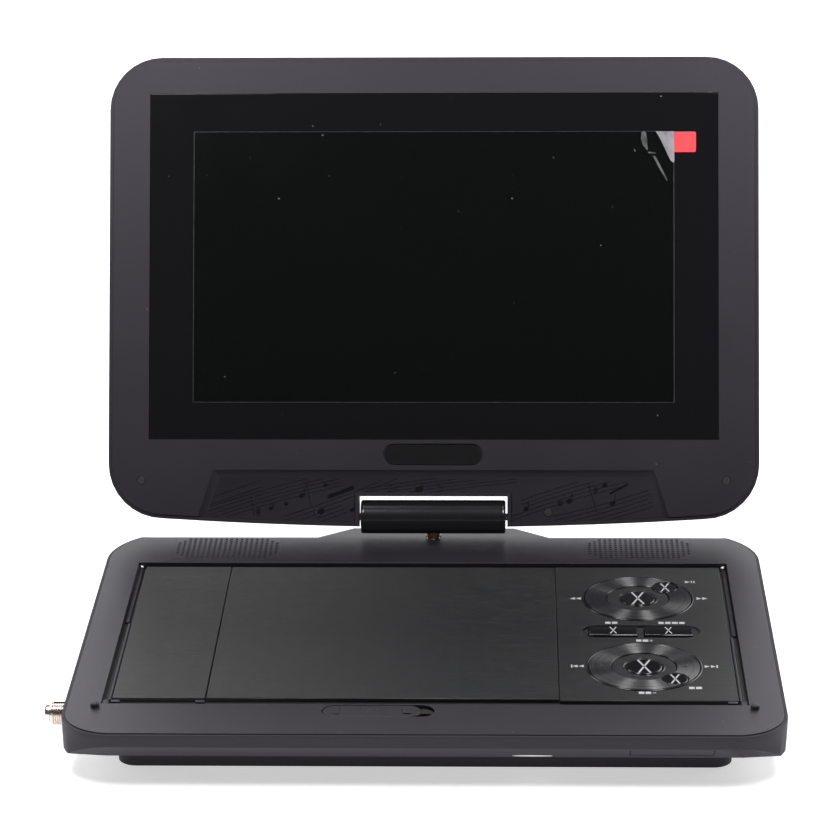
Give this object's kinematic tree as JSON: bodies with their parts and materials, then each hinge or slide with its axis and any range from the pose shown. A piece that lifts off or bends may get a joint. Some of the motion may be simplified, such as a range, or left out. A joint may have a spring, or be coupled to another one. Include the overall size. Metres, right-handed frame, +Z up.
{
  "type": "portable dvd player",
  "caption": "Flat portable disc player with a hinged disc door and key panel, and a wide screen lid on a centre hinge that tilts and swivels.",
  "frame": {"origin": "on the resting surface, under the centre of the outer box with the lid leaned back", "axes": "+Z up, keys and card flap face -Y, +X to the right seen from the keys"},
  "size_m": [0.2726, 0.266, 0.2078],
  "materials": {
    "charcoal_plastic": "fine grained matt moulding",
    "brushed_panel": "hairline brushed film on plastic",
    "key_black": "spun gloss keys",
    "barrel_black": "smooth satin black",
    "screen_black": "gloss black printed lens",
    "clear_film": "thin protective film",
    "red_tab": "red adhesive tape",
    "panel_cell": "display cell",
    "backlight_white": "white diffuser stack",
    "board_green": "solder mask",
    "plug_black": "soft black",
    "mat_grey": "silicone",
    "well_black": "matt moulding",
    "steel": "plain steel",
    "post_copper": "warm plated steel",
    "nickel": "nickel plated brass",
    "lens_glass": "coated lens",
    "jack_black": "black nylon",
    "battery_blue": "shrink wrap"
  },
  "bodies": {
    "base": {"base_top_cover": "charcoal_plastic", "base_bottom_cover": "charcoal_plastic", "battery_cover": "charcoal_plastic", "speaker_grilles": "charcoal_plastic", "left_trim_panel": "brushed_panel", "control_panel": "brushed_panel", "main_board": "board_green", "key_board": "board_green", "base_bumpers": "plug_black", "rubber_feet": "plug_black", "key_mat": "mat_grey", "drive_dampers": "mat_grey", "disc_well": "well_black", "base_screws": "steel", "swivel_bracket": "steel", "drive_chassis": "steel", "guide_rods": "steel", "spindle_motor": "steel", "sled_motor": "steel", "latch_spring": "steel", "tuner_can": "steel", "usb_port": "steel", "rf_connector": "nickel", "side_jacks": "jack_black", "speakers": "jack_black", "battery_pack": "battery_blue"},
    "hinge": {"hinge_cover_front": "barrel_black", "hinge_cover_rear": "barrel_black", "hinge_core": "steel", "friction_bushes": "post_copper", "swivel_post": "post_copper", "swivel_stop_plate": "steel"},
    "lid": {"lid_front_bezel": "charcoal_plastic", "lid_rear_cover": "charcoal_plastic", "screen_lens": "screen_black", "lcd_panel": "panel_cell", "lcd_backlight": "backlight_white", "lcd_board": "board_green", "screen_film": "clear_film", "film_pull_tab": "red_tab", "lid_screw_plugs": "plug_black", "lid_screws": "steel", "hinge_leaves": "steel", "tilt_shafts": "steel"},
    "disc_door": {"disc_door": "brushed_panel"},
    "open_slider": {"open_slider": "charcoal_plastic"},
    "nav_ring_upper": {"nav_ring_upper": "key_black"},
    "nav_ring_lower": {"nav_ring_lower": "key_black"},
    "centre_key_upper": {"centre_key_upper": "key_black"},
    "centre_key_lower": {"centre_key_lower": "key_black"},
    "small_key_upper": {"small_key_upper": "key_black"},
    "small_key_lower": {"small_key_lower": "key_black"},
    "bar_key_left": {"bar_key_left": "key_black"},
    "bar_key_right": {"bar_key_right": "key_black"},
    "spindle": {"spindle_hub": "well_black"},
    "sled": {"pickup_sled": "well_black", "pickup_lens": "lens_glass"},
    "lead_screw": {"lead_screw": "steel"},
    "power_switch": {"power_switch": "jack_black"},
    "card_flap": {"card_flap": "charcoal_plastic"}
  },
  "joints": [
    {"name": "swivel", "type": "hinge", "parent": "base", "child": "hinge", "pos_m": [0.00345, 0.05705, 0.022], "axis": [0, 0, 1], "range_deg": [-90, 180]},
    {"name": "tilt", "type": "hinge", "parent": "hinge", "child": "lid", "pos_m": [0.00345, 0.05705, 0.0308], "axis": [1, 0, 0], "range_deg": [-68, 112]},
    {"name": "door_open", "type": "hinge", "parent": "base", "child": "disc_door", "pos_m": [-0.01215, 0.02565, 0.01825], "axis": [-1, 0, 0], "range_deg": [0, 60]},
    {"name": "slider_slide", "type": "slide", "parent": "base", "child": "open_slider", "axis": [1, 0, 0], "range_m": [0, 0.0048], "stiffness_N_per_m": 150},
    {"name": "nav_ring_upper_rock", "type": "hinge", "parent": "base", "child": "nav_ring_upper", "pos_m": [0.08495, -0.0049, 0.0182], "axis": [0, 1, 0], "range_deg": [-2, 2], "stiffness_Nm_per_rad": 0.6},
    {"name": "nav_ring_lower_rock", "type": "hinge", "parent": "base", "child": "nav_ring_lower", "pos_m": [0.08495, -0.0701, 0.0182], "axis": [0, 1, 0], "range_deg": [-2, 2], "stiffness_Nm_per_rad": 0.6},
    {"name": "centre_key_upper_press", "type": "slide", "parent": "base", "child": "centre_key_upper", "axis": [0, 0, -1], "range_m": [0, 0.0006], "stiffness_N_per_m": 600},
    {"name": "centre_key_lower_press", "type": "slide", "parent": "base", "child": "centre_key_lower", "axis": [0, 0, -1], "range_m": [0, 0.0006], "stiffness_N_per_m": 600},
    {"name": "small_key_upper_press", "type": "slide", "parent": "base", "child": "small_key_upper", "axis": [0, 0, -1], "range_m": [0, 0.0006], "stiffness_N_per_m": 600},
    {"name": "small_key_lower_press", "type": "slide", "parent": "base", "child": "small_key_lower", "axis": [0, 0, -1], "range_m": [0, 0.0006], "stiffness_N_per_m": 600},
    {"name": "bar_key_left_press", "type": "slide", "parent": "base", "child": "bar_key_left", "axis": [0, 0, -1], "range_m": [0, 0.0006], "stiffness_N_per_m": 600},
    {"name": "bar_key_right_press", "type": "slide", "parent": "base", "child": "bar_key_right", "axis": [0, 0, -1], "range_m": [0, 0.0006], "stiffness_N_per_m": 600},
    {"name": "spindle_spin", "type": "hinge", "parent": "base", "child": "spindle", "pos_m": [-0.01215, -0.03565, 0.015], "axis": [0, 0, 1], "continuous": true},
    {"name": "sled_slide", "type": "slide", "parent": "base", "child": "sled", "axis": [0, -1, 0], "range_m": [0, 0.032]},
    {"name": "lead_screw_spin", "type": "hinge", "parent": "base", "child": "lead_screw", "pos_m": [0.01485, -0.03565, 0.0082], "axis": [0, 1, 0], "range_deg": [0, 5760]},
    {"name": "switch_slide", "type": "slide", "parent": "base", "child": "power_switch", "axis": [0, 1, 0], "range_m": [0, 0.003]},
    {"name": "flap_open", "type": "hinge", "parent": "base", "child": "card_flap", "pos_m": [0.09295, -0.12423, 0.01114], "axis": [1, 0, 0], "range_deg": [0, 80]}
  ],
  "couplings": [
    {"joint": "lead_screw_spin", "follows": "sled_slide", "rad_per_m": 3141.6}
  ]
}
